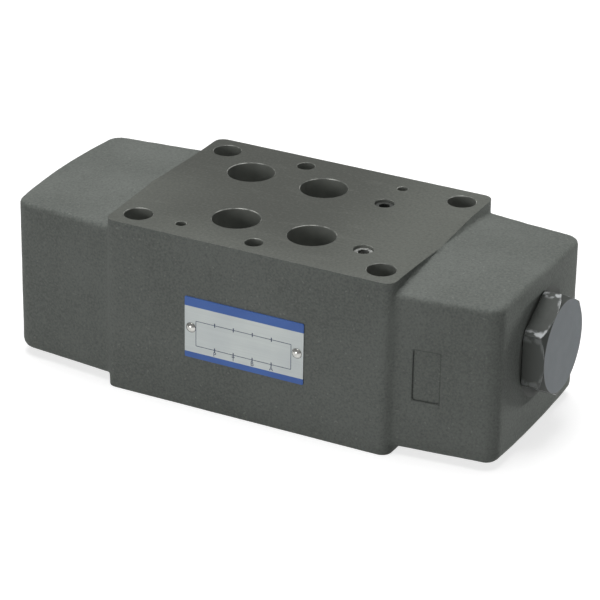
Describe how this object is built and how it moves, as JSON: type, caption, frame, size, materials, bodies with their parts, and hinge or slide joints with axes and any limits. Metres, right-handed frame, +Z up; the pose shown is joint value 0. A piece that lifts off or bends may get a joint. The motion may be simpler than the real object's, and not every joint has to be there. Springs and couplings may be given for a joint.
{
  "type": "hydraulic sandwich valve",
  "caption": "Hydraulic sandwich valve: cast block with ports through its mounting faces and a pilot operated check, with piston, poppet and spring, behind a hexagon end plug.",
  "frame": {"origin": "centre of the bolt rectangle on the base mounting face", "axes": "+X along the valve bore towards the hexagon plug, +Y to the back, away from the nameplate, +Z up to the top mounting face"},
  "size_m": [0.2155, 0.0917, 0.07],
  "materials": {
    "casting": "dark phosphated casting, milled mounting faces",
    "hard_steel": "hardened and ground",
    "ground_steel": "ground",
    "spring_wire": "drawn wire",
    "black_oxide": "black oxide, satin",
    "plug_steel": "plain steel",
    "seal": "matt",
    "backup_ring": "matt",
    "plate": "printed, satin",
    "plated_screw": "bright plated"
  },
  "bodies": {
    "housing": {"valve_body": "casting", "check_sleeve": "hard_steel", "sleeve_seal": "seal", "sleeve_backup_ring": "backup_ring", "poppet_spring": "spring_wire", "end_plug": "black_oxide", "plug_seal": "seal", "port_seal_p": "seal", "port_seal_t": "seal", "port_seal_a": "seal", "port_seal_b": "seal", "pilot_seal_x": "seal", "pilot_seal_y": "seal", "pilot_plug_x": "plug_steel", "pilot_plug_y": "plug_steel", "nameplate": "plate", "nameplate_screw_left": "plated_screw", "nameplate_screw_right": "plated_screw"},
    "piston": {"pilot_piston": "hard_steel"},
    "poppet": {"check_poppet": "ground_steel"}
  },
  "joints": [
    {"name": "poppet_slide", "type": "slide", "parent": "housing", "child": "poppet", "axis": [1, 0, 0], "range_m": [0, 0.006], "stiffness_N_per_m": 3000, "springref_m": -0.01, "deforming": ["poppet_spring"]},
    {"name": "piston_slide", "type": "slide", "parent": "housing", "child": "piston", "axis": [1, 0, 0], "range_m": [0, 0.0037]}
  ]
}
